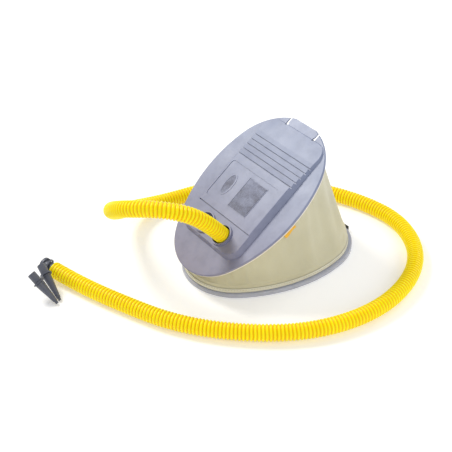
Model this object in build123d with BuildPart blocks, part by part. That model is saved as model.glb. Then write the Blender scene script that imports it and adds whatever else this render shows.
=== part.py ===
"""Oval bellows foot pump with a hinged treadle, two valve ports, a corrugated hose and a nozzle set.

Units are millimetres. The origin is the centre of the base plate's underside, +X runs from the
hinge towards the opening end, +Z is up. The pump is modelled open, as its spring holds it.
"""
from build123d import *
import os
from math import atan, cos, degrees, pi, radians, sin, tan

os.makedirs("parts", exist_ok=True)

# ---- Driving dimensions -------------------------------------------------------------------
# Plate outlines: half length, half width, radius of the long sides, where the sides bulge most
BASE_OVAL = (143.0, 102.5, 220.0, 11.0)
TREADLE_OVAL = (140.0, 101.4, 205.0, 9.6)

opening_angle = 37.25  # treadle to base, when open
hinge_x = -112.8
hinge_z = 26.4
treadle_rise = 31.2  # treadle rim plane above the hinge axis

base_panel = 3.0
base_flange = 7.0
treadle_flange = 3.5
treadle_skin = 2.4
rim_round = 1.2
skirt_depth = 16.0  # fabric skirt wall, below the treadle rim plane
skirt_top = 19.0  # fabric skirt wall, above the floor

fabric_inset = 13.0
base_outset = 7.0  # how much nearer the edge the cloth stands on the base
base_shift = -2.5  # and how far it is set towards the hinge end
fabric_thick = 1.5
hoop_inset = 14.7
hoop_thick = 0.8
wall_inset = 15.7
wall_thick = 2.5

tongue_half = 31.5  # half spacing of the slots beside each end tongue
slot_width = 4.0
slot_length = 16.5
base_slot_length = 6.0
keyhole_radius = 3.0
slot_pocket_skin = 2.0  # treadle thickness left round its slots

deck_height = 9.0
deck_half_width = 62.0
deck_low_end = -88.0
deck_high_end = 118.0
deck_corner = 18.0
groove_x = -46.0
tread_first = 44.0
tread_pitch = 9.5
tread_count = 5
tread_drop = 0.85
tread_rise = 0.35
tread_groove = 3.0
groove_width = 2.2
wall_slope = 5.0  # how far the deck's side walls lean out from top to foot
recess_depth = 0.8

port_x = -69.0
port_half_gap = 21.0
port_rim_radius = 17.2
port_hole_radius = 15.0
port_rim_height = 11.2
port_boss_radius = 21.5
port_boss_bottom = -10.0
port_ledge_radius = 12.9
ledge_low = -5.0
ledge_high = -3.0
seat_thick = 2.5
seat_screw_circle = 18.3

pin_radius = 3.0
pin_half_length = 26.0
lug_radius = 6.6
lug_thick = 2.0
treadle_lug_y = 19.0  # outer faces of the treadle bracket's lugs
base_lug_y = 21.6  # outer faces of the base bracket's lugs
running_gap = 0.05

wire_radius = 1.25
coil_radius = 6.75
coil_pitch = 2.9

hose_radius = 12.5
hose_bore = 9.5
hose_floor = hose_radius  # height of the hose's centreline where it lies on the floor
hose_start = -1.0  # the hose's end inside the port, from the treadle rim plane

# ---- Reference planes ---------------------------------------------------------------------
lean = radians(opening_angle)
treadle_centre = (
    hinge_x - hinge_x * cos(lean) - treadle_rise * sin(lean),
    0,
    hinge_z - hinge_x * sin(lean) + treadle_rise * cos(lean),
)
along = Vector(cos(lean), 0, sin(lean))
normal = Vector(-sin(lean), 0, cos(lean))
treadle = Plane(origin=treadle_centre, x_dir=along, z_dir=normal)
treadle_side = Plane(origin=treadle_centre, x_dir=along, z_dir=(0, -1, 0))  # (along, normal)
side = Plane(origin=(0, 0, 0), x_dir=(1, 0, 0), z_dir=(0, -1, 0))  # (x, z)


def on_treadle(u, v, h):
    """The point u along, v across and h above the treadle's rim plane."""
    return Vector(*treadle_centre) + along * u + Vector(0, v, 0) + normal * h


# ---- Shared shapes ------------------------------------------------------------------------
def oval(shape, inset=0.0, mode=Mode.ADD, shift=0.0):
    """An egg-shaped face of four tangent arcs, moved in by inset and along X by shift."""
    half_length, half_width, side_radius, bulge_x = shape
    sink = side_radius - half_width
    joins = []
    for end in (-1, 1):
        reach = half_length - end * bulge_x
        end_radius = (side_radius**2 - reach**2 - sink**2) / (2 * (side_radius - reach))
        share = (side_radius - inset) / (side_radius - end_radius)
        join_x = bulge_x + (end * (half_length - end_radius) - bulge_x) * share
        joins.append((join_x, sink * share - sink))
    (low_x, low_y), (high_x, high_y) = joins
    low_x, high_x, bulge_x = low_x + shift, high_x + shift, bulge_x + shift
    low_end, high_end = inset - half_length + shift, half_length - inset + shift
    with BuildLine() as outline:
        ThreePointArc((low_x, low_y), (bulge_x, half_width - inset), (high_x, high_y))
        ThreePointArc((high_x, high_y), (high_end, 0), (high_x, -high_y))
        ThreePointArc((high_x, -high_y), (bulge_x, inset - half_width), (low_x, -low_y))
        ThreePointArc((low_x, -low_y), (low_end, 0), (low_x, low_y))
    make_face(outline.edges(), mode=mode)


def oval_ring(shape, inset, thick, shift=0.0):
    """The band between the outline moved in by inset and by inset + thick."""
    oval(shape, inset, shift=shift)
    oval(shape, inset + thick, mode=Mode.SUBTRACT, shift=shift)


def base_ring(inset, thick):
    """A band on the base, where the cloth stands nearer the edge than on the treadle."""
    oval_ring(BASE_OVAL, inset - base_outset, thick, base_shift)


def save(builder, name):
    """Labels a finished piece and writes it under its own name."""
    builder.part.label = name
    export_step(builder.part, f"parts/{name}.step")


def cut_tongue(plane, end_x, tip_x, depth, reach):
    """Cuts the end straight at tip_x, with keyhole slots that reach in beside the tongue."""
    slot_end = end_x - reach
    with BuildSketch(plane) as cut:
        with Locations((tip_x + 10, 0)):
            Rectangle(20, 2 * tongue_half)
        for sign in (-1, 1):
            with Locations((slot_end + 15, sign * tongue_half)):
                Rectangle(30, slot_width)
            with Locations((slot_end, sign * (tongue_half - 1))):
                Circle(keyhole_radius)
    extrude(cut.sketch, amount=depth, mode=Mode.SUBTRACT)


# ---- Base ---------------------------------------------------------------------------------
bracket_pad = 3.0  # height of the pad that the hinge bracket stands on, above the panel
plate_x = (-120.5, -76.0)  # the base bracket's foot plate
plate_half_width = 24.0
base_screws = [(-84.0, 15.0), (-84.0, -15.0), (-113.0, 11.0), (-113.0, -11.0)]
bracket_z = base_panel + bracket_pad
screw_radius = 1.5
base_screw_floor = 1.2  # plastic left under the base screws' holes
base_rib_places = (-40, 0, 40, 80)
base_rib_thick = 2.4
base_rib_height = 4.0

with BuildPart() as base_plate:
    with BuildSketch(Plane.XY):
        oval(BASE_OVAL)
    extrude(amount=base_flange)
    fillet(base_plate.edges().group_by(Axis.Z)[-1], radius=2.0)
    fillet(base_plate.edges().group_by(Axis.Z)[0], radius=1.0)
    with BuildSketch(Plane.XY.offset(base_panel)):
        oval(BASE_OVAL, wall_inset - base_outset + wall_thick, shift=base_shift)
    extrude(amount=base_flange, mode=Mode.SUBTRACT)
    with BuildSketch(Plane.XY.offset(base_panel)):
        base_ring(wall_inset, wall_thick)
    extrude(amount=skirt_top - 0.4 - base_panel)
    with BuildSketch(Plane.XY.offset(base_panel)):
        with Locations((sum(plate_x) / 2, 0)):
            RectangleRounded(plate_x[1] - plate_x[0], 2 * plate_half_width, 4)
    extrude(amount=bracket_pad)
    with BuildSketch(Plane.XY.offset(base_panel)):
        for rib_x in base_rib_places:
            with Locations((rib_x, 0)):
                Rectangle(base_rib_thick, 130)
        with Locations((20, 0)):
            Rectangle(150, base_rib_thick)
    extrude(amount=base_rib_height)
    with BuildSketch(Plane.XY.offset(base_screw_floor)):
        with Locations(*base_screws):
            Circle(screw_radius)
    extrude(amount=bracket_z, mode=Mode.SUBTRACT)
    cut_tongue(Plane.XY.offset(-1), BASE_OVAL[0], BASE_OVAL[0] - 2.0, 12, base_slot_length)
save(base_plate, "base_plate")

# A rubber band hooked over the base's tongue, for holding the treadle down in storage
band_x = BASE_OVAL[0] - 4.8
band_width = 4.6
band_thick = 1.8
with BuildPart() as closing_band:
    with BuildSketch(Plane.XY.offset(base_flange)):
        with Locations((band_x, 0)):
            Rectangle(band_width, 2 * tongue_half + band_thick)
    extrude(amount=band_thick)
    fillet(closing_band.edges().filter_by(Axis.Y).group_by(Axis.Z)[-1], radius=0.6)
    with BuildSketch(Plane.XY.offset(base_flange + 0.5)):
        with Locations((band_x, -tongue_half), (band_x, tongue_half)):
            Rectangle(band_width, band_thick)
    extrude(amount=-base_flange)
save(closing_band, "closing_band")

hoop_height = 8.0
base_hoop_low = 9.0
with BuildPart() as base_hoop:
    with BuildSketch(Plane.XY.offset(base_hoop_low)):
        base_ring(hoop_inset, hoop_thick)
    extrude(amount=hoop_height)
save(base_hoop, "base_hoop")

with BuildPart() as base_hinge_bracket:
    with BuildSketch(Plane.XY.offset(bracket_z)):
        with Locations((sum(plate_x) / 2, 0)):
            RectangleRounded(plate_x[1] - plate_x[0], 2 * plate_half_width, 4)
    extrude(amount=lug_thick)
    for face_y in (base_lug_y, lug_thick - base_lug_y):
        with BuildSketch(side.offset(-face_y)):
            with Locations((hinge_x, hinge_z)):
                Circle(lug_radius)
            with BuildLine():
                Polyline(
                    (hinge_x - lug_radius, hinge_z),
                    (hinge_x - 7.5, bracket_z),
                    (hinge_x + 20, bracket_z),
                    (hinge_x + lug_radius, hinge_z),
                    close=True,
                )
            make_face()
        extrude(amount=lug_thick)
    with BuildSketch(side.offset(-40)):
        with Locations((hinge_x, hinge_z)):
            Circle(pin_radius + running_gap)
    extrude(amount=80, mode=Mode.SUBTRACT)
    with BuildSketch(Plane.XY.offset(bracket_z - 1)):
        with Locations(*base_screws):
            Circle(screw_radius + 0.2)
    extrude(amount=lug_thick + 2, mode=Mode.SUBTRACT)
save(base_hinge_bracket, "base_hinge_bracket")


def pan_screws(plane, places, shank):
    """Pan-head screws whose heads stand on plane, with shanks running the other way."""
    with BuildSketch(plane) as heads:
        with Locations(*places):
            Circle(2.9)
    extrude(heads.sketch, amount=2)
    with BuildSketch(plane.offset(2)) as slots:
        with Locations(*places):
            Rectangle(4.0, 0.9)
            Rectangle(0.9, 4.0)
    extrude(slots.sketch, amount=-1, mode=Mode.SUBTRACT)
    with BuildSketch(plane) as shanks:
        with Locations(*places):
            Circle(screw_radius - 0.1)
    extrude(shanks.sketch, amount=-shank)


with BuildPart() as base_bracket_screws:
    pan_screws(Plane.XY.offset(bracket_z + lug_thick), base_screws, 5.5)
save(base_bracket_screws, "base_bracket_screws")

with BuildPart() as hinge_pin:
    with BuildSketch(side.offset(-pin_half_length)):
        with Locations((hinge_x, hinge_z)):
            Circle(pin_radius)
    extrude(amount=2 * pin_half_length)
    chamfer(hinge_pin.edges().filter_by(GeomType.CIRCLE), 0.5)
save(hinge_pin, "hinge_pin")

with BuildPart() as pin_clips:
    for face_y in (-base_lug_y - 0.3, base_lug_y + 1.5):
        with BuildSketch(side.offset(-face_y)):
            with Locations((hinge_x, hinge_z)):
                Circle(5.6)
                Circle(pin_radius + 0.02, mode=Mode.SUBTRACT)
        extrude(amount=1.2)
save(pin_clips, "pin_clips")

# ---- Return springs: one torsion coil each side of the middle of the pin ------------------
base_leg_angle = -17.3  # direction of the leg that lies on the base bracket
base_leg = 36.0
treadle_leg_angle = opening_angle + 22.3  # direction of the leg under the treadle bracket
treadle_leg = 23.0
coil_start = treadle_leg_angle + 90
coil_sweep = base_leg_angle - 90 - coil_start + 5 * 360
coil_height = coil_pitch * coil_sweep / 360
coil_side_y = 1.8  # gap from the middle plane to the first turn

with BuildPart() as return_spring_left:
    start = radians(coil_start)
    coil_plane = Plane(
        origin=(hinge_x, coil_side_y + wire_radius + coil_height, hinge_z),
        x_dir=(cos(start), 0, sin(start)),
        z_dir=(0, -1, 0),
    )
    coil_edge = coil_plane.from_local_coords(
        Helix(pitch=coil_pitch, height=coil_height, radius=coil_radius, mode=Mode.PRIVATE)
    )
    for at, way, reach in ((0, -1, treadle_leg), (1, 1, base_leg)):
        leg_way = (coil_edge % at) * way
        with BuildSketch(Plane(origin=coil_edge @ at, z_dir=(leg_way.X, 0, leg_way.Z))):
            Circle(wire_radius)
        extrude(amount=reach)
    with BuildSketch(Plane(origin=coil_edge @ 0, z_dir=coil_edge % 0)):
        Circle(wire_radius)
    sweep(path=coil_edge, is_frenet=True)
save(return_spring_left, "return_spring_left")

with BuildPart() as return_spring_right:
    add(mirror(return_spring_left.part, about=Plane.XZ))
save(return_spring_right, "return_spring_right")

# ---- Treadle ------------------------------------------------------------------------------
bracket_top = -5.0  # the treadle bracket's upper face, from the rim plane
treadle_screws = [(-100.6, 8.0), (-100.6, -8.0), (-111.5, 8.0), (-111.5, -8.0)]
treadle_plate_u = (-117.0, -95.0)
hinge_u = hinge_x
hinge_h = -treadle_rise
recess_centre = (-1.0, 3.5)
recess_size = (66.0, 111.0)
badge_centre = (-3.0, 34.5)
panel_centre = (-3.0, -12.0)
panel_size = (54.0, 42.0)
badge_half = (19.4, 9.6)  # half length and half width of the badge
badge_border = 2.6
panel_border = 0.8
panel_bars = 6
panel_bar_pitch = 7.5
panel_bar_width = 2.4
relief = 0.5  # height of the badge and panel bars above the recess
pocket_u = TREADLE_OVAL[0] - slot_length / 2 + 2  # thinned patches round the treadle's slots
pocket_width = 14.0


def deck_outline(grow):
    """The raised deck's outline with rounded corners, larger by grow all round."""
    with Locations(((deck_low_end + deck_high_end) / 2, 0)):
        RectangleRounded(
            deck_high_end - deck_low_end + 2 * grow,
            2 * (deck_half_width + grow),
            deck_corner + grow,
        )


def side_cut(points, half_width):
    """Cuts a prism through the treadle: points are (along, above) pairs, cut to half_width."""
    with BuildSketch(treadle_side.offset(-half_width)) as profile:
        with BuildLine() as outline:
            Polyline(*points, close=True)
        make_face(outline.edges())
    extrude(profile.sketch, amount=2 * half_width, mode=Mode.SUBTRACT)


def treadle_cylinders(places, radius, bottom, top, mode=Mode.ADD):
    """Upright cylinders on the treadle, between two heights from its rim plane."""
    with BuildSketch(treadle.offset(bottom)) as discs:
        with Locations(*places):
            Circle(radius)
    extrude(discs.sketch, amount=top - bottom, mode=mode)


inflate_at = (port_x, -port_half_gap)
deflate_at = (port_x, port_half_gap)
seat_screws = [
    (
        port_x + seat_screw_circle * cos(radians(turn)),
        hand * (port_half_gap + seat_screw_circle * sin(radians(turn))),
    )
    for hand in (-1, 1)
    for turn in (90, 210, 330)
]

with BuildPart() as treadle_plate:
    # rim flange and slightly crowned skin
    with BuildSketch(treadle.offset(-treadle_flange)):
        oval(TREADLE_OVAL)
    extrude(amount=treadle_flange)
    rim_face = treadle_plate.faces().sort_by(Axis(treadle_centre, normal))[-1]
    fillet(rim_face.edges(), radius=rim_round)
    with BuildSketch(treadle.offset(-0.5)):
        oval(TREADLE_OVAL, 5)
    extrude(amount=2.6, taper=60)
    # raised deck with sloping side walls and rounded top edges
    with BuildSketch(treadle):
        deck_outline(wall_slope)
    extrude(amount=deck_height, taper=degrees(atan(wall_slope / deck_height)))
    deck_face = treadle_plate.faces().sort_by(Axis(treadle_centre, normal))[-1]
    fillet(deck_face.edges(), radius=1.6)
    # foot treads: each one drops at a groove, then climbs a little to the next
    profile = [(tread_first, deck_height + 5), (tread_first, deck_height)]
    for step in range(tread_count):
        tread_x = tread_first + tread_pitch * step
        tread_h = deck_height - tread_drop * step
        profile += [
            (tread_x, tread_h - tread_groove),
            (tread_x + groove_width, tread_h - tread_groove),
            (tread_x + groove_width, tread_h - tread_drop - tread_rise),
            (tread_x + tread_pitch, tread_h - tread_drop),
        ]
    profile += [(deck_high_end + 8, 1.6), (deck_high_end + 8, deck_height + 5)]
    side_cut(profile, 90)
    # label recess, cross groove and lower port deck
    with BuildSketch(treadle.offset(deck_height - recess_depth)):
        with Locations(recess_centre):
            RectangleRounded(*recess_size, 5)
    extrude(amount=3, mode=Mode.SUBTRACT)
    port_deck = deck_height - recess_depth
    side_cut(
        [(-130, port_deck), (groove_x, port_deck), (groove_x, 20), (-130, 20)], 90
    )
    side_cut(
        [
            (groove_x - 0.8, port_deck - 1.3),
            (groove_x + 0.8, port_deck - 1.3),
            (groove_x + 0.8, 20),
            (groove_x - 0.8, 20),
        ],
        deck_half_width - 1,
    )
    # blank oval badge and a panel of plain bars, standing in the recess
    with BuildSketch(treadle.offset(port_deck)):
        with Locations(badge_centre):
            Ellipse(*badge_half)
            Ellipse(badge_half[0] - badge_border, badge_half[1] - badge_border, mode=Mode.SUBTRACT)
        with Locations(panel_centre):
            Rectangle(*panel_size)
            Rectangle(
                panel_size[0] - 2 * panel_border,
                panel_size[1] - 2 * panel_border,
                mode=Mode.SUBTRACT,
            )
            with GridLocations(panel_bar_pitch, 0, panel_bars, 1):
                Rectangle(panel_bar_width, panel_size[1] - 10)
    extrude(amount=relief)
    # hollow underside
    with BuildSketch(treadle.offset(-treadle_flange)):
        oval(TREADLE_OVAL, wall_inset + wall_thick)
    extrude(amount=treadle_flange - treadle_skin, mode=Mode.SUBTRACT)
    for low_u, high_u, half_v, top_h in ((-84, 40, 58, 5.6), (40, 86, 58, 0.6)):
        with BuildSketch(treadle.offset(-treadle_flange)):
            with Locations(((low_u + high_u) / 2, 0)):
                RectangleRounded(high_u - low_u, 2 * half_v, 8)
        extrude(amount=treadle_flange + top_h, mode=Mode.SUBTRACT)
    # skirt wall that the fabric is banded to
    with BuildSketch(treadle.offset(0.4 - skirt_depth)):
        oval_ring(TREADLE_OVAL, wall_inset, wall_thick)
    extrude(amount=skirt_depth - 0.4 - treadle_skin)
    # port sockets
    both = [inflate_at, deflate_at]
    treadle_cylinders(both, port_boss_radius, port_boss_bottom, 6)
    treadle_cylinders(both, port_rim_radius, 4, port_rim_height)
    treadle_cylinders(both, port_hole_radius, 0, port_rim_height + 1, Mode.SUBTRACT)
    treadle_cylinders(both, port_ledge_radius, -12, 1, Mode.SUBTRACT)
    treadle_cylinders([inflate_at], port_hole_radius, -12, ledge_low, Mode.SUBTRACT)
    treadle_cylinders([inflate_at], port_hole_radius, ledge_high, 1, Mode.SUBTRACT)
    treadle_cylinders([deflate_at], port_hole_radius, -12, ledge_high - 0.5, Mode.SUBTRACT)
    treadle_cylinders(seat_screws, screw_radius, -11, -3, Mode.SUBTRACT)
    # pad and screw holes for the hinge bracket
    with BuildSketch(treadle.offset(bracket_top)):
        with Locations((sum(treadle_plate_u) / 2, 0)):
            Rectangle(treadle_plate_u[1] - treadle_plate_u[0], 46)
    extrude(amount=-bracket_top - treadle_skin + 0.5)
    treadle_cylinders(treadle_screws, screw_radius, bracket_top - 1, -0.6, Mode.SUBTRACT)
    with BuildSketch(treadle.offset(-treadle_flange)):
        with Locations(*[(pocket_u, y) for y in (-tongue_half, tongue_half)]):
            Rectangle(slot_length + 4, pocket_width)
    extrude(amount=treadle_flange - slot_pocket_skin, mode=Mode.SUBTRACT)
    cut_tongue(treadle.offset(-9), TREADLE_OVAL[0], TREADLE_OVAL[0] - 3.0, 16, slot_length)
save(treadle_plate, "treadle_plate")

treadle_hoop_low = -14.5
with BuildPart() as treadle_hoop:
    with BuildSketch(treadle.offset(treadle_hoop_low)):
        oval_ring(TREADLE_OVAL, hoop_inset, hoop_thick)
    extrude(amount=hoop_height)
save(treadle_hoop, "treadle_hoop")

bracket_low = bracket_top - lug_thick
with BuildPart() as treadle_hinge_bracket:
    with BuildSketch(treadle.offset(bracket_low)):
        with Locations((sum(treadle_plate_u) / 2, 0)):
            Rectangle(treadle_plate_u[1] - treadle_plate_u[0], 2 * treadle_lug_y)
    extrude(amount=lug_thick)
    with BuildSketch(treadle.offset(bracket_low - 8)):
        with Locations((treadle_plate_u[1] - lug_thick / 2, 0)):
            Rectangle(lug_thick, 2 * treadle_lug_y)
    extrude(amount=8)
    for face_y in (treadle_lug_y, lug_thick - treadle_lug_y):
        with BuildSketch(treadle_side.offset(-face_y)):
            with Locations((hinge_u, hinge_h)):
                Circle(lug_radius)
            with BuildLine():
                Polyline(
                    (hinge_u - lug_radius, hinge_h),
                    (hinge_u - 3.6, bracket_low),
                    (treadle_plate_u[1] - lug_thick, bracket_low),
                    (treadle_plate_u[1] - lug_thick, bracket_low - 8),
                    (hinge_u + lug_radius, hinge_h),
                    close=True,
                )
            make_face()
        extrude(amount=lug_thick)
    with BuildSketch(treadle_side.offset(-40)):
        with Locations((hinge_u, hinge_h)):
            Circle(pin_radius + running_gap)
    extrude(amount=80, mode=Mode.SUBTRACT)
    treadle_cylinders(
        treadle_screws, screw_radius + 0.2, bracket_low - 1, bracket_top + 1, Mode.SUBTRACT
    )
save(treadle_hinge_bracket, "treadle_hinge_bracket")


def under_treadle(h):
    """A plane at height h that faces down from the treadle, with X still along it."""
    return Plane(origin=on_treadle(0, 0, h), x_dir=along, z_dir=-normal)


with BuildPart() as treadle_bracket_screws:
    pan_screws(under_treadle(bracket_low), treadle_screws, 5.8)
save(treadle_bracket_screws, "treadle_bracket_screws")

# ---- Valves -------------------------------------------------------------------------------
disc_radius = 12.2
disc_thick = 1.2
disc_bore = 1.7
guide_radius = 1.4
seat_bottom = port_boss_bottom - seat_thick


def air_holes(centre):
    """Five holes round the valve's guide pin."""
    with Locations(centre):
        with PolarLocations(6.6, 5):
            Circle(3.2)


def seat_plate(centre, hand):
    """The plate screwed under a port's boss, with its air and screw holes."""
    with BuildSketch(treadle.offset(seat_bottom)) as plate:
        with Locations(centre):
            Circle(port_boss_radius - 0.7)
    extrude(plate.sketch, amount=seat_thick)
    with BuildSketch(treadle.offset(seat_bottom - 1)) as holes:
        air_holes(centre)
        with Locations(*[place for place in seat_screws if place[1] * hand > 0]):
            Circle(screw_radius + 0.2)
    extrude(holes.sketch, amount=seat_thick + 2, mode=Mode.SUBTRACT)


with BuildPart() as outlet_valve_seat:
    seat_plate(inflate_at, -1)
    treadle_cylinders([inflate_at], guide_radius, port_boss_bottom - 1, -5.2)
save(outlet_valve_seat, "outlet_valve_seat")

with BuildPart() as intake_valve_cage:
    seat_plate(deflate_at, 1)
save(intake_valve_cage, "intake_valve_cage")

intake_seat_low = -6.0
intake_seat_high = ledge_high - 0.6
with BuildPart() as intake_valve_seat:
    treadle_cylinders([deflate_at], port_hole_radius - 0.15, port_boss_bottom, intake_seat_high)
    treadle_cylinders(
        [deflate_at], disc_radius + 0.7, port_boss_bottom - 1, intake_seat_low, Mode.SUBTRACT
    )
    with BuildSketch(treadle.offset(intake_seat_low - 1)):
        air_holes(deflate_at)
    extrude(amount=6, mode=Mode.SUBTRACT)
    treadle_cylinders([deflate_at], guide_radius, port_boss_bottom + 0.2, intake_seat_low + 1)
save(intake_valve_seat, "intake_valve_seat")

for builder_name, centre in (("outlet_valve_disc", inflate_at), ("intake_valve_disc", deflate_at)):
    with BuildPart() as valve_disc:
        treadle_cylinders([centre], disc_radius, port_boss_bottom, port_boss_bottom + disc_thick)
        treadle_cylinders([centre], disc_bore, -12, -5, Mode.SUBTRACT)
    save(valve_disc, builder_name)

with BuildPart() as valve_screws:
    pan_screws(under_treadle(seat_bottom), seat_screws, 8.0)
save(valve_screws, "valve_screws")

# ---- Bellows ------------------------------------------------------------------------------
with BuildPart() as bellows:
    for inset, mode in ((fabric_inset, Mode.ADD), (fabric_inset + fabric_thick, Mode.SUBTRACT)):
        with BuildSketch(Plane.XY.offset(skirt_top)):
            oval(BASE_OVAL, inset - base_outset, shift=base_shift)
        with BuildSketch(treadle.offset(-skirt_depth)):
            oval(TREADLE_OVAL, inset)
        loft(ruled=True, mode=mode)
    with BuildSketch(Plane.XY.offset(base_flange + 0.2)):
        base_ring(fabric_inset, fabric_thick)
    extrude(amount=skirt_top - base_flange - 0.2)
    with BuildSketch(treadle.offset(-skirt_depth)):
        oval_ring(TREADLE_OVAL, fabric_inset, fabric_thick)
    extrude(amount=skirt_depth - treadle_flange - 0.2)
save(bellows, "bellows")

tag_centre = (-3.0, -89.4)
tag_size = (22.0, 0.8)
tag_low = -23.0
tag_drop = 6.5
with BuildPart() as seam_tag:
    with BuildSketch(Plane(origin=on_treadle(*tag_centre, tag_low), x_dir=along, z_dir=normal)):
        Rectangle(*tag_size)
    extrude(amount=tag_drop)
save(seam_tag, "seam_tag")

# ---- Hose ---------------------------------------------------------------------------------
hose_top = on_treadle(*inflate_at, hose_start)
hose_route = [
    hose_top,
    on_treadle(*inflate_at, 60),
    (-184, 3, 148),
    (-218, 50, 137),
    (-215, 104, 105),
    (-178, 155, 59),
    (-130, 192, 28),
    (-62, 197, hose_floor),
    (20, 187, hose_floor),
    (104, 146, hose_floor),
    (164, 83, hose_floor),
    (201, 8, hose_floor),
    (213, -71, hose_floor),
    (180, -147, hose_floor),
    (116, -197, hose_floor),
    (28, -220, hose_floor),
    (-67, -205, hose_floor),
    (-149, -155, hose_floor),
    (-220, -78, hose_floor),
    (-261, 15, hose_floor),
    (-287, 88, hose_floor),
    (-300, 134, 15),
]
hose_points = [Vector(*point) for point in hose_route]


def corner_radii(points):
    """The largest tangent arc that each corner's two runs leave room for."""
    radii = []
    for before, corner, after in zip(points, points[1:], points[2:]):
        run_in, run_out = corner - before, after - corner
        half_turn = radians(run_in.get_angle(run_out) / 2)
        radii.append(0.45 * min(run_in.length, run_out.length) / tan(half_turn))
    return radii


hose_radii = corner_radii(hose_points)
with BuildPart() as hose:
    with BuildLine() as hose_line:
        FilletPolyline(*hose_points, radius=hose_radii)
    with BuildSketch(Plane(origin=hose_points[0], x_dir=along, z_dir=normal)):
        Circle(hose_radius)
        Circle(hose_bore, mode=Mode.SUBTRACT)
    sweep(path=hose_line.wires()[0])
save(hose, "hose")
hose_length = hose_line.wires()[0].length
expected = hose_length * pi * (hose_radius**2 - hose_bore**2)
print("hose length", round(hose_length), "mm, volume ratio", round(hose.part.volume / expected, 4))
print("hose corner radii", [round(radius) for radius in hose_radii])

cuff_top = 3.0
with BuildPart() as hose_cuff:
    treadle_cylinders([inflate_at], port_hole_radius - 0.15, ledge_high, cuff_top)
    treadle_cylinders([inflate_at], hose_radius + 0.2, hose_start, port_rim_height, Mode.SUBTRACT)
    treadle_cylinders([inflate_at], hose_bore, -6, 0, Mode.SUBTRACT)
save(hose_cuff, "hose_cuff")

# ---- Hose end and nozzle set --------------------------------------------------------------
hose_end = hose_points[-1]
end_way = (hose_points[-1] - hose_points[-2]).normalized()


def turned(origin, way, profile):
    """Revolves (distance along way, radius) points about the line through origin."""
    axis_plane = Plane(origin=origin, x_dir=way, z_dir=way.cross(Vector(0, 0, 1)))
    with BuildSketch(axis_plane) as half:
        with BuildLine() as outline:
            Polyline(*profile, close=True)
        make_face(outline.edges())
    revolve(half.sketch, axis=Axis(origin, way))


connector_neck = 7.9
connector_bore = 6.45
connector_plug = hose_bore - 0.15
with BuildPart() as hose_connector:
    turned(
        hose_end,
        end_way,
        [
            (-18, connector_plug - 0.75),
            (-16, connector_plug),
            (0, connector_plug),
            (0, 11.0),
            (0.8, 11.0),
            (0.8, connector_neck),
            (16.5, connector_neck),
            (17.0, 10.4),
            (21.0, 10.4),
            (22.0, 9.4),
            (22.0, connector_bore),
            (-18, connector_bore),
        ],
    )
save(hose_connector, "hose_connector")

nozzle_near = (Vector(-321, 117.5, 25), Vector(-321.2, 78.3, 2.4))  # collar and tip
nozzle_far = (Vector(-339.9, 102.4, 28.1), Vector(-327.6, 73.7, 2.4))
strap_thick = 2.2
ring_hole = 5.9
ring_outer = 9.0


def nozzle(collar, tip, root, mouth):
    """A tapered nozzle: plug-in shank behind the collar groove, cone in front of it."""
    way = (tip - collar).normalized()
    reach = (tip - collar).length
    turned(
        collar,
        way,
        [
            (-17.0, mouth - 1.6),
            (-17.0, mouth - 0.5),
            (-16.5, mouth),
            (-1.7, mouth),
            (-1.3, 5.5),
            (1.3, 5.5),
            (1.7, root),
            (reach - 4.5, 3.0),
            (reach - 4.5, 2.3),
            (reach, 2.1),
            (reach, 1.0),
            (1.0, 3.8),
            (0.0, mouth - 1.6),
        ],
    )


with BuildPart() as nozzle_narrow:
    nozzle(*nozzle_near, 6.7, 6.3)
save(nozzle_narrow, "nozzle_narrow")

with BuildPart() as nozzle_wide:
    nozzle(*nozzle_far, 7.1, 6.3)
save(nozzle_wide, "nozzle_wide")

strap_ring_at = hose_end + end_way * 10.2
strap_way = (nozzle_near[0] - strap_ring_at).normalized()
level_way = (end_way - strap_way * end_way.dot(strap_way)).normalized()
ring_way = (end_way * 0.5 + level_way * 0.5).normalized()
with BuildPart() as nozzle_strap:
    rings = [
        (strap_ring_at, ring_way, connector_neck + 1.4, 11.6),
        (nozzle_near[0], (nozzle_near[1] - nozzle_near[0]).normalized(), ring_hole, ring_outer),
        (nozzle_far[0], (nozzle_far[1] - nozzle_far[0]).normalized(), ring_hole, ring_outer),
    ]
    for (low, low_way, low_hole, low_outer), (high, high_way, high_hole, high_outer) in zip(
        rings, rings[1:]
    ):
        toward = (high - low).normalized()
        leave = (toward - low_way * toward.dot(low_way)).normalized()
        reach = (toward - high_way * toward.dot(high_way)).normalized()
        first = low + leave * (low_outer - 1.2)
        last = high - reach * (high_outer - 1.2)
        link = (last - first).normalized()
        span = (last - first).length
        flat = low_way * (-1 if low_way.dot(high_way) < 0 else 1) + high_way
        with BuildSketch(Plane(origin=first, x_dir=link.cross(flat), z_dir=link)):
            Rectangle(4.6, 1.6)
        extrude(amount=span)
    for centre, way, hole, outer in rings:
        with BuildSketch(Plane(origin=centre - way * (strap_thick / 2), z_dir=way)):
            Circle(outer)
        extrude(amount=strap_thick)
    for centre, way, hole, outer in rings:
        with BuildSketch(Plane(origin=centre - way * 3, z_dir=way)):
            Circle(hole)
        extrude(amount=6, mode=Mode.SUBTRACT)
save(nozzle_strap, "nozzle_strap")
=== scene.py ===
import math

import bmesh
import bpy
import numpy as np
from mathutils import Matrix, Vector, noise


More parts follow.
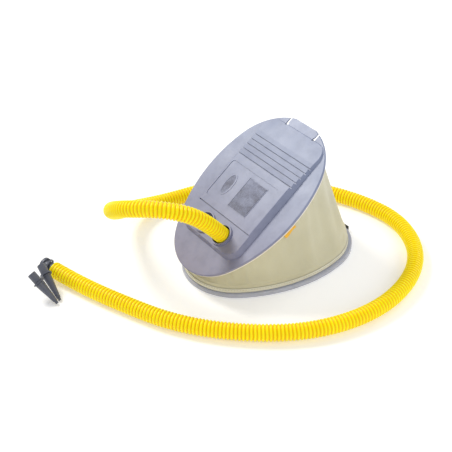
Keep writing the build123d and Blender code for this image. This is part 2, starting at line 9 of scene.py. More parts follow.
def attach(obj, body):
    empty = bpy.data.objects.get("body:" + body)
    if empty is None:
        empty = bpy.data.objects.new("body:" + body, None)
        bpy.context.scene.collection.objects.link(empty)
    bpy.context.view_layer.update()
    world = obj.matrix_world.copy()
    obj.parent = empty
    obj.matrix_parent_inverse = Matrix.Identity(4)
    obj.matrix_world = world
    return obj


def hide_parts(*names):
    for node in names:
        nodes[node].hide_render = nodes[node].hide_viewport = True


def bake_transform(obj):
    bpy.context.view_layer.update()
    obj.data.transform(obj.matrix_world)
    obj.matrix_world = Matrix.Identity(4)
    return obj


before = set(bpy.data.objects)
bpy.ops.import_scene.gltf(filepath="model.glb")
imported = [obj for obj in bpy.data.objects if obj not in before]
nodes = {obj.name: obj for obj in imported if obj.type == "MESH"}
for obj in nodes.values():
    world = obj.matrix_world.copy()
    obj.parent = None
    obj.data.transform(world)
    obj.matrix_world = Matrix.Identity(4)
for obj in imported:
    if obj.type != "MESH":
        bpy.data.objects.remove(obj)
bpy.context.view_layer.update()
scene = bpy.context.scene

# ---- The CAD part's driving dimensions, in metres ------------------------------------------
BASE_OVAL = (0.143, 0.1025, 0.220, 0.011)
TREADLE_OVAL = (0.140, 0.1014, 0.205, 0.0096)
LEAN = math.radians(37.25)
HINGE = Vector((-0.1128, 0.0, 0.0264))
TREADLE_RISE = 0.0312
ALONG = Vector((math.cos(LEAN), 0.0, math.sin(LEAN)))
NORMAL = Vector((-math.sin(LEAN), 0.0, math.cos(LEAN)))
TREADLE_CENTRE = HINGE - ALONG * HINGE.x + NORMAL * TREADLE_RISE
FABRIC_INSET = 0.0132
BASE_OUTSET = 0.0070
BASE_SHIFT = -0.0025
BASE_SEAM = 0.0190
TREADLE_SEAM = -0.0160


def on_treadle(u, v, h):
    """The point u along, v across and h above the treadle's rim plane."""
    return TREADLE_CENTRE + ALONG * u + Vector((0.0, v, 0.0)) + NORMAL * h


# ---- Camera and light ----------------------------------------------------------------------
camera = bpy.data.objects.new("camera", bpy.data.cameras.new("camera"))
scene.collection.objects.link(camera)
camera.location = (-0.7948, -0.9884, 0.9149)
camera.rotation_euler = (math.radians(55.605), 0.0, math.radians(-35.9045))
camera.data.sensor_width = 36.0
camera.data.lens = 79.65
camera.data.clip_end = 20.0
scene.camera = camera


def area_light(name, place, aim, size, power, colour):
    """A round soft lamp at place that points at aim."""
    data = bpy.data.lights.new(name, "AREA")
    data.shape = "DISK"
    data.size = size
    data.energy = power
    data.color = colour
    lamp = bpy.data.objects.new(name, data)
    scene.collection.objects.link(lamp)
    lamp.location = place
    lamp.rotation_euler = (Vector(aim) - Vector(place)).to_track_quat("-Z", "Y").to_euler()


MIDDLE = (0.0, 0.0, 0.05)
area_light("key", (-0.7, 1.5, 1.9), MIDDLE, 0.8, 34.0, (1.0, 0.99, 0.97))
area_light("front", (0.0, -2.2, 1.2), MIDDLE, 1.6, 15.0, (0.97, 0.985, 1.0))
area_light("side", (2.0, 0.2, 1.2), (0.0, 0.0, 0.08), 1.2, 12.0, (1.0, 1.0, 1.0))

world = bpy.data.worlds.new("studio")
world.use_nodes = True
world.node_tree.nodes["Background"].inputs["Color"].default_value = (1.0, 1.0, 1.0, 1.0)
world.node_tree.nodes["Background"].inputs["Strength"].default_value = 0.55
scene.world = world
scene.view_settings.view_transform = "Standard"


# ---- Materials -----------------------------------------------------------------------------
class Shader:
    """A node material built up one texture at a time round a Principled shader."""

    def __init__(self, name, roughness, metallic=0.0, specular=0.5):
        self.material = bpy.data.materials.new(name)
        self.material.use_nodes = True
        self.tree = self.material.node_tree
        self.tree.nodes.clear()
        self.out = self.tree.nodes.new("ShaderNodeOutputMaterial")
        self.main = self.tree.nodes.new("ShaderNodeBsdfPrincipled")
        self.link(self.main.outputs[0], self.out.inputs[0])
        self.main.inputs["Roughness"].default_value = roughness
        self.main.inputs["Metallic"].default_value = metallic
        self.main.inputs["Specular IOR Level"].default_value = specular
        self.coords = self.tree.nodes.new("ShaderNodeTexCoord")
        self.height = None

    def link(self, a, b):
        self.tree.links.new(a, b)

    def noise(self, scale, detail=3.0, stretch=(1.0, 1.0, 1.0)):
        """Cloudy noise in the piece's own coordinates, from 0 to 1."""
        mapping = self.tree.nodes.new("ShaderNodeMapping")
        mapping.inputs["Scale"].default_value = stretch
        self.link(self.coords.outputs["Object"], mapping.inputs["Vector"])
        texture = self.tree.nodes.new("ShaderNodeTexNoise")
        texture.inputs["Scale"].default_value = scale
        texture.inputs["Detail"].default_value = detail
        self.link(mapping.outputs[0], texture.inputs["Vector"])
        return texture.outputs["Fac"]

    def wave(self, scale, direction):
        """Even bands across the piece's UV, one way."""
        texture = self.tree.nodes.new("ShaderNodeTexWave")
        texture.bands_direction = direction
        texture.inputs["Scale"].default_value = scale
        self.link(self.coords.outputs["UV"], texture.inputs["Vector"])
        return texture.outputs["Fac"]

    def ramp(self, factor, low, high, start=0.3, end=0.7):
        """A colour that runs from low to high between start and end of the factor."""
        node = self.tree.nodes.new("ShaderNodeValToRGB")
        node.color_ramp.elements[0].position = start
        node.color_ramp.elements[0].color = (*low, 1.0)
        node.color_ramp.elements[1].position = end
        node.color_ramp.elements[1].color = (*high, 1.0)
        self.link(factor, node.inputs["Fac"])
        return node.outputs["Color"]

    def range(self, factor, low, high):
        """The factor, which goes from 0 to 1, spread from low to high."""
        node = self.tree.nodes.new("ShaderNodeMapRange")
        node.inputs["To Min"].default_value = low
        node.inputs["To Max"].default_value = high
        self.link(factor, node.inputs["Value"])
        return node.outputs[0]

    def mix(self, factor, a, b, kind="MIX"):
        node = self.tree.nodes.new("ShaderNodeMix")
        node.data_type = "RGBA"
        node.blend_type = kind
        if isinstance(factor, float):
            node.inputs["Factor"].default_value = factor
        else:
            self.link(factor, node.inputs["Factor"])
        self.link(a, node.inputs["A"])
        self.link(b, node.inputs["B"])
        return node.outputs["Result"]

    def along_x(self, low, high):
        """A factor from 0 to 1 between two places on the piece's X axis."""
        split = self.tree.nodes.new("ShaderNodeSeparateXYZ")
        self.link(self.coords.outputs["Object"], split.inputs[0])
        node = self.tree.nodes.new("ShaderNodeMapRange")
        node.inputs["From Min"].default_value = low
        node.inputs["From Max"].default_value = high
        self.link(split.outputs["X"], node.inputs["Value"])
        return node.outputs[0]

    def attribute(self, name):
        node = self.tree.nodes.new("ShaderNodeAttribute")
        node.attribute_name = name
        return node.outputs["Fac"]

    def bump(self, factor, strength, distance):
        """Adds the factor's relief on top of any bump laid before."""
        node = self.tree.nodes.new("ShaderNodeBump")
        node.inputs["Strength"].default_value = strength
        node.inputs["Distance"].default_value = distance
        self.link(factor, node.inputs["Height"])
        if self.height is not None:
            self.link(self.height, node.inputs["Normal"])
        self.height = node.outputs["Normal"]
        self.link(self.height, self.main.inputs["Normal"])

    def colour(self, socket):
        self.link(socket, self.main.inputs["Base Color"])

    def rough(self, socket):
        self.link(socket, self.main.inputs["Roughness"])


WHITE = (1.0, 1.0, 1.0)


def mould_grain(s):
    """The relief of injection-moulded plastic: a fine spark-eroded grain on a slow waviness."""
    s.bump(s.noise(900.0, 2.0), 0.35, 0.00012)
    s.bump(s.noise(60.0, 2.0), 0.12, 0.0004)


def moulded(name, low, high, roughness):
    """Injection-moulded plastic: slow tone changes, handling scuffs and a fine grain."""
    s = Shader(name, roughness)
    tone = s.ramp(s.noise(9.0, 2.0), low, high)
    scuff = s.ramp(s.noise(85.0, 6.0), (0.93, 0.93, 0.93), WHITE, 0.35, 0.55)
    s.colour(s.mix(1.0, tone, scuff, "MULTIPLY"))
    s.rough(s.range(s.noise(34.0, 4.0), roughness - 0.07, roughness + 0.09))
    mould_grain(s)
    return s.material


def metal(name, low, high, roughness, stretch):
    """Plated or drawn steel with fine marks along one way."""
    s = Shader(name, roughness, metallic=1.0)
    s.colour(s.ramp(s.noise(60.0, 5.0, stretch), low, high))
    s.rough(s.range(s.noise(200.0, 4.0, stretch), roughness - 0.08, roughness + 0.12))
    s.bump(s.noise(500.0, 3.0, stretch), 0.2, 0.00005)
    return s.material


def rubbery(name, low, high, roughness):
    """Soft moulded rubber with a dusty bloom."""
    s = Shader(name, roughness, specular=0.3)
    s.colour(s.ramp(s.noise(45.0, 5.0), low, high))
    s.rough(s.range(s.noise(120.0, 3.0), roughness - 0.1, roughness + 0.08))
    s.bump(s.noise(1400.0, 2.0), 0.3, 0.00008)
    return s.material


def woven(name, low, high, threads, roughness, sheen):
    """Coated cloth: crossing threads from the piece's own UV, blotchy tone and soft creases."""
    s = Shader(name, roughness, specular=0.35)
    s.main.inputs["Sheen Weight"].default_value = sheen
    s.main.inputs["Sheen Roughness"].default_value = 0.5
    tone = s.ramp(s.noise(14.0, 4.0), low, high)
    weave = s.mix(0.5, s.wave(threads, "X"), s.wave(threads, "Y"))
    thread_tone = s.ramp(weave, (0.93, 0.93, 0.92), WHITE, 0.1, 0.8)
    s.colour(s.mix(1.0, tone, thread_tone, "MULTIPLY"))
    s.rough(s.range(s.noise(22.0, 4.0), roughness - 0.06, roughness + 0.1))
    s.bump(weave, 0.3, 0.00015)
    s.bump(s.noise(38.0, 4.0), 0.25, 0.0009)
    return s.material


def hose_plastic():
    """Blow-moulded yellow tube, with painted shade in the grooves between its ribs: darker orange
    there.
    """
    s = Shader("hose_yellow_skin", 0.3, specular=0.22)
    crest = s.ramp(s.noise(25.0, 3.0), (1.0, 0.82, 0.0), (1.0, 0.89, 0.0))
    # Painted shade: a darker orange for the grooves between the ribs, where shade falls.
    groove_shade = s.ramp(s.noise(25.0, 3.0), (0.92, 0.46, 0.0), (0.97, 0.52, 0.0))
    s.colour(s.mix(s.attribute("groove_shade"), crest, groove_shade))
    s.rough(s.range(s.noise(140.0, 3.0), 0.24, 0.38))
    s.bump(s.noise(700.0, 2.0), 0.15, 0.00008)
    return s.material


def pedal_plastic():
    """The treadle's grey: bluer at its high end, darker and purpler towards its low end."""
    s = Shader("pedal_grey", 0.38)
    grain = s.noise(11.0, 3.0)
    # Two tones mixed along the plate's length: darker and purpler towards its low end, bluer towards
    # its high end.
    low_end_tone = s.ramp(grain, (0.215, 0.206, 0.292), (0.270, 0.260, 0.365))
    high_end_tone = s.ramp(grain, (0.195, 0.232, 0.355), (0.242, 0.280, 0.412))
    tone = s.mix(s.along_x(-0.15, 0.02), low_end_tone, high_end_tone)
    scuff = s.ramp(s.noise(85.0, 6.0), (0.90, 0.90, 0.91), WHITE, 0.35, 0.55)
    s.colour(s.mix(1.0, tone, scuff, "MULTIPLY"))
    s.rough(s.range(s.noise(34.0, 4.0), 0.30, 0.46))
    mould_grain(s)
    return s.material


def printed_label():
    """A matt transfer: fine mottled marks in a darker tone of the plate's grey."""
    s = Shader("label_print", 0.55)
    fine = s.noise(330.0, 2.0, (1.0, 3.0, 1.0))
    broad = s.noise(75.0, 2.0, (1.0, 0.5, 1.0))
    marks = s.range(s.mix(0.55, fine, broad), 0.0, 1.0)
    s.colour(s.ramp(marks, (0.118, 0.123, 0.178), (0.235, 0.255, 0.360), 0.40, 0.60))
    s.rough(s.range(s.noise(90.0, 3.0), 0.48, 0.62))
    s.bump(marks, 0.3, 0.0001)
    return s.material


grey = moulded("base_grey", (0.370, 0.388, 0.470), (0.415, 0.433, 0.520), 0.24)
pedal_grey = pedal_plastic()
label_ink = printed_label()
slate = moulded("nozzle_slate", (0.085, 0.092, 0.120), (0.108, 0.116, 0.148), 0.42)
black_plastic = moulded("valve_black", (0.012, 0.012, 0.013), (0.020, 0.020, 0.022), 0.45)
steel = metal("plated_steel", (0.52, 0.52, 0.50), (0.66, 0.66, 0.64), 0.34, (1.0, 8.0, 1.0))
spring_steel = metal("drawn_wire", (0.30, 0.30, 0.31), (0.46, 0.46, 0.47), 0.38, (6.0, 6.0, 1.0))
# Black rubber for the hose cuff. On the closing band the same near-black is painted shade.
black_rubber_and_shade = rubbery("cuff_rubber_and_band_shade", (0.008, 0.008, 0.009), (0.018, 0.018, 0.019), 0.62)
disc_rubber = rubbery("disc_rubber", (0.014, 0.014, 0.014), (0.030, 0.029, 0.028), 0.7)
khaki = woven("bellows_cloth", (0.545, 0.520, 0.375), (0.62, 0.598, 0.445), 900.0, 0.45, 0.15)
cream = woven("hem_cloth", (0.68, 0.665, 0.55), (0.76, 0.75, 0.64), 900.0, 0.5, 0.15)
orange = woven("tag_cloth", (0.82, 0.42, 0.03), (0.90, 0.52, 0.05), 1500.0, 0.6, 0.2)
edge_cream = woven("edge_cloth", (0.80, 0.73, 0.62), (0.88, 0.82, 0.72), 900.0, 0.5, 0.15)
thread = woven("stitch_thread", (0.42, 0.39, 0.28), (0.50, 0.47, 0.35), 2500.0, 0.7, 0.2)
yellow = hose_plastic()

PAINT = {
    grey: ["base_plate"],
    pedal_grey: ["treadle_plate"],
    # The closing band is painted near-black, standing in for the deep shade in the gap at the base's
    # slotted end: painted shade.
    black_rubber_and_shade: ["hose_cuff", "closing_band"],
    steel: [
        "base_hoop",
        "treadle_hoop",
        "base_hinge_bracket",
        "treadle_hinge_bracket",
        "base_bracket_screws",
        "treadle_bracket_screws",
        "valve_screws",
        "hinge_pin",
        "pin_clips",
    ],
    black_plastic: ["outlet_valve_seat", "intake_valve_cage", "intake_valve_seat"],
    disc_rubber: ["outlet_valve_disc", "intake_valve_disc"],
    slate: ["hose_connector", "nozzle_narrow", "nozzle_wide", "nozzle_strap"],
}
for material, names in PAINT.items():
    for name in names:
        nodes[name].data.materials.clear()
        nodes[name].data.materials.append(material)


# ---- Mesh helpers --------------------------------------------------------------------------
def ease(t):
    """A smooth step from 0 to 1."""
    return t * t * (3 - 2 * t)


def circle(axis_a, axis_b, turn, radius):
    """The step from a circle's centre to its point at turn, between two crossed axes."""
    return (axis_a * math.cos(turn) + axis_b * math.sin(turn)) * radius


def new_object(name, mesh, material):
    """A scene object with one material, made from a mesh."""
    piece = bpy.data.objects.new(name, mesh)
    scene.collection.objects.link(piece)
    mesh.materials.clear()
    mesh.materials.append(material)
    return piece


def object_from(name, shape, material):
    """Turns a bmesh into a scene object and frees it."""
    mesh = bpy.data.meshes.new(name)
    shape.to_mesh(mesh)
    shape.free()
    return new_object(name, mesh, material)


def smooth(mesh):
    mesh.polygons.foreach_set("use_smooth", [True] * len(mesh.polygons))
    mesh.update()


def tube(name, points, radii, segments, material):
    """A closed tube through points, one ring each, with frames carried along without twist."""
    path = [Vector(p) for p in points]
    ways = [(b - a).normalized() for a, b in zip(path, path[1:])]
    ways = [ways[0]] + [(a + b).normalized() for a, b in zip(ways, ways[1:])] + [ways[-1]]
    side = ways[0].orthogonal().normalized()
    shape = bmesh.new()
    rings = []
    for centre, way, radius in zip(path, ways, radii):
        side = (side - way * side.dot(way)).normalized()
        up = way.cross(side)
        ring = []
        for k in range(segments):
            step = circle(side, up, 2 * math.pi * k / segments, radius)
            ring.append(shape.verts.new(centre + step))
        rings.append(ring)
    for low, high in zip(rings, rings[1:]):
        for k in range(segments):
            n = (k + 1) % segments
            shape.faces.new((low[k], low[n], high[n], high[k]))
    shape.faces.new(rings[0][::-1])
    shape.faces.new(rings[-1])
    piece = object_from(name, shape, material)
    smooth(piece.data)
    return piece


def resample(points, step):
    """Points at even steps along a polyline, with the distance run to each."""
    path = np.array([tuple(p) for p in points])
    runs = np.concatenate([[0.0], np.cumsum(np.linalg.norm(np.diff(path, axis=0), axis=1))])
    count = int(round(runs[-1] / step))
    at = np.linspace(0.0, runs[-1], count + 1)
    even = np.stack([np.interp(at, runs, path[:, k]) for k in range(3)], axis=1)
    return even, at


# ---- Hose ----------------------------------------------------------------------------------
HOSE_PORT = (-0.069, -0.021)
HOSE_LIE = 0.0127
HOSE_ROUTE = [
    on_treadle(*HOSE_PORT, -0.001),
    on_treadle(*HOSE_PORT, 0.060),
    (-0.184, 0.003, 0.148),
    (-0.218, 0.050, 0.137),
    (-0.215, 0.104, 0.105),
    (-0.178, 0.155, 0.059),
    (-0.130, 0.192, 0.028),
    (-0.062, 0.197, HOSE_LIE),
    (0.020, 0.187, HOSE_LIE),
    (0.104, 0.146, HOSE_LIE),
    (0.164, 0.083, HOSE_LIE),
    (0.201, 0.008, HOSE_LIE),
    (0.213, -0.071, HOSE_LIE),
    (0.180, -0.147, HOSE_LIE),
    (0.116, -0.197, HOSE_LIE),
    (0.028, -0.220, HOSE_LIE),
    (-0.067, -0.205, HOSE_LIE),
    (-0.149, -0.155, HOSE_LIE),
    (-0.220, -0.078, HOSE_LIE),
    (-0.261, 0.015, HOSE_LIE),
    (-0.287, 0.088, HOSE_LIE),
    (-0.300, 0.134, 0.0150),
]
HOSE_PITCH = 0.0053
HOSE_CREST = 0.0125
HOSE_GROOVE = 0.0105
HOSE_SIDES = 32
STEPS_PER_RIB = 8
RIB_FLAT = 1.5
RIB_ROUND = 0.7


def hose_line():
    """The hose's middle line: a quadratic NURBS curve steered by the route, as points."""
    line_data = bpy.data.curves.new("hose_line", "CURVE")
    line_data.dimensions = "3D"
    spline = line_data.splines.new("NURBS")
    spline.points.add(len(HOSE_ROUTE) - 1)
    for point, place in zip(spline.points, HOSE_ROUTE):
        point.co = (*place, 1.0)
    spline.order_u = 3
    spline.use_endpoint_u = True
    spline.resolution_u = 24
    line = bpy.data.objects.new("hose_line", line_data)
    scene.collection.objects.link(line)
    bpy.context.view_layer.update()
    line_mesh = bpy.data.meshes.new_from_object(line)
    points = [v.co.copy() for v in line_mesh.vertices]
    bpy.data.objects.remove(line)
    return points


hose_path, hose_runs = resample(hose_line(), HOSE_PITCH / STEPS_PER_RIB)
phase = hose_runs / HOSE_PITCH % 1.0
rib = 0.5 + 0.5 * np.cos(2 * math.pi * phase)
rib = np.clip(rib * RIB_FLAT, 0.0, 1.0) ** RIB_ROUND
hose_radii = HOSE_GROOVE + (HOSE_CREST - HOSE_GROOVE) * rib
hose = tube("hose_tube", hose_path, hose_radii, HOSE_SIDES, yellow)
# Painted shade mask: 1 in each groove between the ribs, 0 on each crest.
groove_shade = hose.data.attributes.new("groove_shade", "FLOAT", "POINT")
groove_shade.data.foreach_set("value", np.repeat(1.0 - rib, HOSE_SIDES))
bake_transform(hose)
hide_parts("hose")

# ---- Return springs ------------------------------------------------------------------------
WIRE_RADIUS = 0.00125
COIL_RADIUS = 0.00675
COIL_PITCH = 0.0029
BASE_LEG_ANGLE = math.radians(-17.3)
BASE_LEG = 0.036
TREADLE_LEG_ANGLE = LEAN + math.radians(22.3)
TREADLE_LEG = 0.023
COIL_TURNS = 5
COIL_START = TREADLE_LEG_ANGLE + math.pi / 2
COIL_END = BASE_LEG_ANGLE - math.pi / 2 + 2 * math.pi * COIL_TURNS
COIL_SWEEP = COIL_END - COIL_START
COIL_WIDTH = COIL_PITCH * COIL_SWEEP / (2 * math.pi)
COIL_INNER_Y = 0.00305
COIL_OUTER_Y = COIL_INNER_Y + COIL_WIDTH
COIL_STEPS = 150
TREADLE_LEG_STEPS = 6
BASE_LEG_STEPS = 8
WIRE_SIDES = 12


def beside_hinge(turn, out, y):
    """A point on the coil's round at turn, then out along its tangent, at y along the pin."""
    arm = Vector((math.cos(turn), 0.0, math.sin(turn))) * COIL_RADIUS
    tangent = Vector((-math.sin(turn), 0.0, math.cos(turn)))
    return HINGE + arm + tangent * out + Vector((0.0, y, 0.0))


def spring(name, hand, cad_node):
    """A torsion coil round the pin with one leg on the base and one under the treadle."""
    points, shares = [], []
    for k in range(TREADLE_LEG_STEPS + 1):
        out = TREADLE_LEG * (1 - k / TREADLE_LEG_STEPS)
        points.append(beside_hinge(COIL_START, -out, COIL_OUTER_Y))
        shares.append(1.0)
    for k in range(1, COIL_STEPS):
        share = k / COIL_STEPS
        y = COIL_INNER_Y + COIL_WIDTH * (1 - share)
        points.append(beside_hinge(COIL_START + COIL_SWEEP * share, 0.0, y))
        shares.append(1.0 - share)
    for k in range(BASE_LEG_STEPS + 1):
        points.append(beside_hinge(COIL_END, BASE_LEG * k / BASE_LEG_STEPS, COIL_INNER_Y))
        shares.append(0.0)
    for point in points:
        point.y *= hand
    wire = tube(name, points, [WIRE_RADIUS] * len(points), WIRE_SIDES, spring_steel)
    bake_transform(wire)
    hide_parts(cad_node)


spring("spring_left", 1, "return_spring_left")
spring("spring_right", -1, "return_spring_right")


# ---- Bellows -------------------------------------------------------------------------------
ARC_COUNTS = (16, 48, 36, 48, 16)


def oval(shape, inset):
    """Points round an egg of four tangent arcs, anticlockwise from its +X end."""
    half_length, half_width, side_radius, bulge_x = shape
    sink = side_radius - half_width
    found = {}
    for end in (-1, 1):
        reach = half_length - end * bulge_x
        end_radius = (side_radius**2 - reach**2 - sink**2) / (2 * (side_radius - reach))
        centre_x = end * (half_length - end_radius)
        join_turn = math.atan2(sink, centre_x - bulge_x)
        found[end] = (centre_x, end_radius - inset, join_turn)
    high_x, high_radius, high_turn = found[1]
    low_x, low_radius, low_turn = found[-1]
    side_r = side_radius - inset
    arcs = [
        (high_x, 0.0, high_radius, 0.0, high_turn),
        (bulge_x, -sink, side_r, high_turn, low_turn),
        (low_x, 0.0, low_radius, low_turn, 2 * math.pi - low_turn),
        (bulge_x, sink, side_r, 2 * math.pi - low_turn, 2 * math.pi - high_turn),
        (high_x, 0.0, high_radius, 2 * math.pi - high_turn, 2 * math.pi),
    ]
    points = []
    for (x, y, radius, start, end), count in zip(arcs, ARC_COUNTS):
        for k in range(count):
            turn = start + (end - start) * k / count
            points.append((x + radius * math.cos(turn), y + radius * math.sin(turn)))
    return points


def base_ring(inset, z):
    """A ring on the base, where the cloth stands nearer the edge than on the treadle."""
    return [Vector((x + BASE_SHIFT, y, z)) for x, y in oval(BASE_OVAL, inset - BASE_OUTSET)]


def treadle_ring(inset, h):
    """A ring round the treadle at h above its rim plane."""
    return [on_treadle(x, y, h) for x, y in oval(TREADLE_OVAL, inset)]


def sleeve(name, rings, material, shares):
    """A closed-round sheet through rings of points, with UV in metres and each ring's share."""
    shape = bmesh.new()
    uv = shape.loops.layers.uv.new("cloth")
    rows = [[shape.verts.new(p) for p in ring] for ring in rings]
    count = len(rings[0])
    top = rings[-1]
    across = [0.0]
    for k in range(count):
        across.append(across[-1] + (top[(k + 1) % count] - top[k]).length)
    rise = [0.0]
    for low, high in zip(rings, rings[1:]):
        rise.append(rise[-1] + max((b - a).length for a, b in zip(low, high)))
    for r in range(len(rows) - 1):
        for k in range(count):
            n = (k + 1) % count
            face = shape.faces.new((rows[r][k], rows[r][n], rows[r + 1][n], rows[r + 1][k]))
            places = ((k, r), (k + 1, r), (k + 1, r + 1), (k, r + 1))
            for loop, (column, row) in zip(face.loops, places):
                loop[uv].uv = (across[column], rise[row])
    piece = object_from(name, shape, material)
    group = piece.vertex_groups.new(name="share")
    for r, share in enumerate(shares):
        group.add(range(r * count, (r + 1) * count), share, "REPLACE")
    smooth(piece.data)
    return piece


def bake(piece, name):
    """Replaces the piece's mesh by its evaluated one and clears its modifiers."""
    depsgraph = bpy.context.evaluated_depsgraph_get()
    mesh = bpy.data.meshes.new_from_object(piece.evaluated_get(depsgraph))
    mesh.name = name
    piece.modifiers.clear()
    piece.data = mesh
    smooth(mesh)


def group_values(piece, name):
    """Each point's weight in one vertex group."""
    index = piece.vertex_groups[name].index
    values = np.zeros(len(piece.data.vertices))
    for vertex in piece.data.vertices:
        for entry in vertex.groups:
            if entry.group == index:
                values[vertex.index] = entry.weight
    return values


CLOTH_ROWS = 40
CLOTH_THICK = 0.0009
STRIP_THICK = 0.0008
BASE_CLAMP = (0.0074, 0.0112, 0.0152)
TREADLE_CLAMP = (-0.0120, -0.0080, -0.0040)
WAVE_SCALE = 16
WAVE_HEIGHT = 0.0022
FULL_WAVE_RISE = 0.17
CREASE_HEIGHT = 0.0042
CREASE_REACH = 0.08


def wall_point(low, high, t):
    """A point t up the cloth between two rims, with slow waves, and creases at its low end."""
    point = low.lerp(high, t)
    tall = min(1.0, (high - low).length / FULL_WAVE_RISE)
    wave = noise.noise(Vector((point.x * WAVE_SCALE, point.y * WAVE_SCALE, 2.0))) * WAVE_HEIGHT * tall
    slack = min(1.0, max(0.0, -point.x / CREASE_REACH))
    slanted = Vector((point.x * 34 + point.z * 60, point.y * 30, point.z * 22))
    wave += noise.noise(slanted) * CREASE_HEIGHT * slack
    outward = Vector((point.x - TREADLE_CENTRE.x * t, point.y, 0.0)).normalized()
    return point + outward * (wave * math.sin(math.pi * t))


def bellows_rings():
    """The cloth's rings from the base's clamp up to the treadle's, and each one's share."""
    low_ring = base_ring(FABRIC_INSET, BASE_SEAM)
    high_ring = treadle_ring(FABRIC_INSET, TREADLE_SEAM)
    rings = [base_ring(FABRIC_INSET, z) for z in BASE_CLAMP]
    shares = [0.0] * len(BASE_CLAMP)
    for row in range(CLOTH_ROWS + 1):
        t = row / CLOTH_ROWS
        rings.append([wall_point(low, high, t) for low, high in zip(low_ring, high_ring)])
        shares.append(t)
    rings += [treadle_ring(FABRIC_INSET, h) for h in TREADLE_CLAMP]
    shares += [1.0] * len(TREADLE_CLAMP)
    return rings, shares


SETTLE_FRAMES = 30
LOOSE_FROM = -0.02
LOOSE_REACH = 0.07


def let_settle(piece, columns):
    """Lets the cloth bulge and wrinkle between its clamped rings, looser at its low end."""
    pin = piece.vertex_groups.new(name="pin")
    last_low = len(BASE_CLAMP) + 1
    first_high = len(BASE_CLAMP) + CLOTH_ROWS
    pin.add(range(0, last_low * columns), 1.0, "REPLACE")
    pin.add(range(first_high * columns, len(piece.data.vertices)), 1.0, "REPLACE")
    loose = piece.vertex_groups.new(name="loose")
    for vertex in piece.data.vertices:
        slack = min(1.0, max(0.0, (LOOSE_FROM - vertex.co.x) / LOOSE_REACH))
        loose.add([vertex.index], ease(slack), "REPLACE")
    cloth = piece.modifiers.new("cloth", "CLOTH")
    cloth.settings.vertex_group_mass = "pin"
    cloth.settings.quality = 6
    cloth.settings.mass = 0.25
    cloth.settings.tension_stiffness = 25
    cloth.settings.compression_stiffness = 25
    cloth.settings.shear_stiffness = 8
    cloth.settings.bending_stiffness = 2.0
    cloth.settings.vertex_group_shrink = "loose"
    cloth.settings.shrink_min = -0.004
    cloth.settings.shrink_max = -0.05
    cloth.settings.use_pressure = True
    cloth.settings.uniform_pressure_force = 4.0
    cloth.settings.effector_weights.gravity = 0.3
    cloth.collision_settings.use_collision = False
    scene.frame_start = 1
    scene.frame_end = SETTLE_FRAMES
    cloth.point_cache.frame_start = 1
    cloth.point_cache.frame_end = SETTLE_FRAMES
    for number in range(1, SETTLE_FRAMES + 1):
        scene.frame_set(number)
    bake(piece, "bellows_settled")
    scene.frame_set(1)


def thicken(piece, thickness, offset):
    """Gives a sheet its thickness: to its back at offset -1, to its front at 1."""
    skin = piece.modifiers.new("thickness", "SOLIDIFY")
    skin.thickness = thickness
    skin.offset = offset


rings, shares = bellows_rings()
bellows = sleeve("bellows_cloth", rings, khaki, shares)
let_settle(bellows, len(rings[0]))
settle = bellows.modifiers.new("round", "SUBSURF")
settle.levels = 1
settle.render_levels = 1
thicken(bellows, CLOTH_THICK, -1.0)
bake(bellows, "bellows_final")
bellows_share = group_values(bellows, "share")
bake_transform(bellows)
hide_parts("bellows")


def band(name, rings, material, body):
    """A thin sewn strip round the cloth that rides on one body."""
    piece = sleeve(name, rings, material, [0.0] * len(rings))
    thicken(piece, STRIP_THICK, 1.0)
    bake(piece, name)
    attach(piece, body)
    return piece


# How far each ring of the strip stands off the cloth, and its height.
HEM_PROFILE = (
    (0.0004, 0.0073),
    (0.0009, 0.0084),
    (0.0010, 0.0100),
    (0.0010, 0.0115),
    (0.0009, 0.0127),
    (0.0002, 0.0134),
)
hem_rings = [base_ring(FABRIC_INSET - off, z) for off, z in HEM_PROFILE]
hem = band("base_hem", hem_rings, cream, "base")

SELVAGE_PROFILE = (
    (0.0002, -0.0165),
    (0.0008, -0.0158),
    (0.0010, -0.0130),
    (0.0010, -0.0080),
    (0.0009, -0.0058),
)
# Inset from the treadle's edge, and height, where the selvage turns out under the rim.
TURNED_PROFILE = (
    (0.0110, -0.0050),
    (0.0065, -0.0048),
    (0.0024, -0.0048),
    (0.0010, -0.0070),
)
SLOTS_BEGIN = 0.112
TURN_FADE = 0.025


def turned_out(inset, h):
    """A ring under the rim that reaches out to inset, but stays in by the slotted end."""
    inner = treadle_ring(FABRIC_INSET - 0.0012, h)
    ring = []
    for point, near in zip(treadle_ring(inset, h), inner):
        u = (near - TREADLE_CENTRE).dot(ALONG)
        reach = min(1.0, max(0.03, (SLOTS_BEGIN - u) / TURN_FADE))
        ring.append(near.lerp(point, reach))
    return ring


selvage_rings = [treadle_ring(FABRIC_INSET - off, h) for off, h in SELVAGE_PROFILE]
selvage_rings += [turned_out(inset, h) for inset, h in TURNED_PROFILE]
selvage = band("treadle_selvage", selvage_rings, edge_cream, "treadle")


STITCH_LIFT = 0.0019
STITCH_PITCH = 0.0042
STITCH_SIZE = (0.0030, 0.0007, 0.0006)


def stitches(name, ring, body):
    """A row of short thread bars along a closed ring, lifted out of the cloth."""
    even, _ = resample(ring + [ring[0]], STITCH_PITCH)
    middle = np.mean(even, axis=0)
    shape = bmesh.new()
    for a, b in zip(even, even[1:]):
        way = Vector(b - a).normalized()
        out = Vector(a - middle)
        out = (out - way * out.dot(way)).normalized()
        centre = Vector(a) + out * STITCH_LIFT
        up = way.cross(out)
        bar = bmesh.ops.create_icosphere(shape, subdivisions=1, radius=0.5)["verts"]
        turn = Matrix((way, up, out)).transposed().to_4x4()
        size = Matrix.Diagonal((*STITCH_SIZE, 1.0))
        bmesh.ops.transform(shape, matrix=Matrix.Translation(centre) @ turn @ size, verts=bar)
    piece = object_from(name, shape, thread)
    smooth(piece.data)
    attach(piece, body)
    return piece


hem_thread = stitches("hem_stitches", base_ring(FABRIC_INSET, 0.0120), "base")
top_thread = stitches("selvage_stitches", treadle_ring(FABRIC_INSET, -0.0148), "treadle")

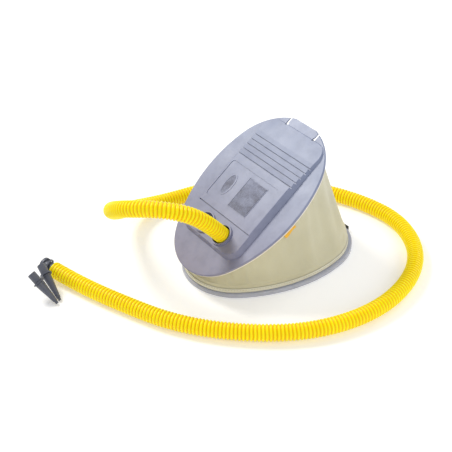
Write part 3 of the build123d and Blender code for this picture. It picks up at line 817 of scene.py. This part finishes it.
# ---- Label and badge faces, printed in the treadle's recess --------------------------------
RECESS_FLOOR = 0.0082
SUNK = 0.0002
BADGE_CENTRE = (-0.003, 0.0345)
BADGE_HALF = (0.0160, 0.0068)
BADGE_POINTS = 72
BADGE_THICK = 0.0002
PANEL_CENTRE = (-0.003, -0.012)
PANEL_HALF = (0.0255, 0.0195)
PANEL_THICK = 0.00055


def printed_face(name, centre, outline, thick):
    """A thin printed patch lying in the recess, from its outline round its centre."""
    shape = bmesh.new()
    u, v = centre
    low = [shape.verts.new(on_treadle(u + a, v + b, RECESS_FLOOR - SUNK)) for a, b in outline]
    high = [shape.verts.new(on_treadle(u + a, v + b, RECESS_FLOOR + thick)) for a, b in outline]
    shape.faces.new(low[::-1])
    shape.faces.new(high)
    for k in range(len(outline)):
        n = (k + 1) % len(outline)
        shape.faces.new((low[k], low[n], high[n], high[k]))
    piece = object_from(name, shape, label_ink)
    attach(piece, "treadle")


badge_turns = [2 * math.pi * k / BADGE_POINTS for k in range(BADGE_POINTS)]
badge = [(BADGE_HALF[0] * math.cos(t), BADGE_HALF[1] * math.sin(t)) for t in badge_turns]
printed_face("badge_face", BADGE_CENTRE, badge, BADGE_THICK)
panel_corners = ((-1, -1), (1, -1), (1, 1), (-1, 1))
panel = [(PANEL_HALF[0] * a, PANEL_HALF[1] * b) for a, b in panel_corners]
printed_face("panel_face", PANEL_CENTRE, panel, PANEL_THICK)

# ---- Seam tag ------------------------------------------------------------------------------
TAG_COLUMNS = 16
TAG_ROWS = 8
TAG_LENGTH = 0.0220
TAG_THICK = 0.0006
TAG_DROP = 0.0080
TAG_START = -0.0140
TAG_SIDE = -0.0908
TAG_TOP = -0.0150
TAG_BELLY = 0.0011
TAG_CURL = 0.0006


def tag_point(c, r):
    """A point of the tag: column c along the rim, row r down, bellied out and curled below."""
    along, drop = c / TAG_COLUMNS, r / TAG_ROWS
    curl = TAG_CURL * math.sin(2.2 * math.pi * along) * drop
    v = TAG_SIDE - TAG_BELLY * math.sin(math.pi * drop * 0.8) - curl
    return on_treadle(TAG_START + TAG_LENGTH * along, v, TAG_TOP - TAG_DROP * drop)


def seam_tag():
    """The ribbon sewn in under the treadle's rim, with UV in metres."""
    shape = bmesh.new()
    uv = shape.loops.layers.uv.new("cloth")
    rows = [
        [shape.verts.new(tag_point(c, r)) for c in range(TAG_COLUMNS + 1)]
        for r in range(TAG_ROWS + 1)
    ]
    for r in range(TAG_ROWS):
        for c in range(TAG_COLUMNS):
            corners = ((r, c), (r, c + 1), (r + 1, c + 1), (r + 1, c))
            face = shape.faces.new([rows[i][j] for i, j in corners])
            for loop, (i, j) in zip(face.loops, corners):
                loop[uv].uv = (TAG_LENGTH * j / TAG_COLUMNS, TAG_DROP * i / TAG_ROWS)
    tag = object_from("tag_ribbon", shape, orange)
    thicken(tag, TAG_THICK, 0.0)
    bake(tag, "tag_ribbon")
    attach(tag, "treadle")
    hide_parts("seam_tag")


seam_tag()

# ---- Floor ---------------------------------------------------------------------------------
FLOOR_HALF = 4.0
FLOOR_Z = -0.0003


def white_paper():
    """Matt white paper that glows a little, so that it stays white in the picture."""
    s = Shader("floor_paper", 0.9, specular=0.1)
    s.colour(s.ramp(s.noise(1.5, 2.0), (0.90, 0.90, 0.90), (0.92, 0.92, 0.92)))
    s.main.inputs["Emission Color"].default_value = (*WHITE, 1.0)
    s.main.inputs["Emission Strength"].default_value = 0.22
    return s.material


shape = bmesh.new()
corners = [(a * FLOOR_HALF, b * FLOOR_HALF, FLOOR_Z) for a, b in panel_corners]
shape.faces.new([shape.verts.new(corner) for corner in corners])
floor = object_from("floor", shape, white_paper())
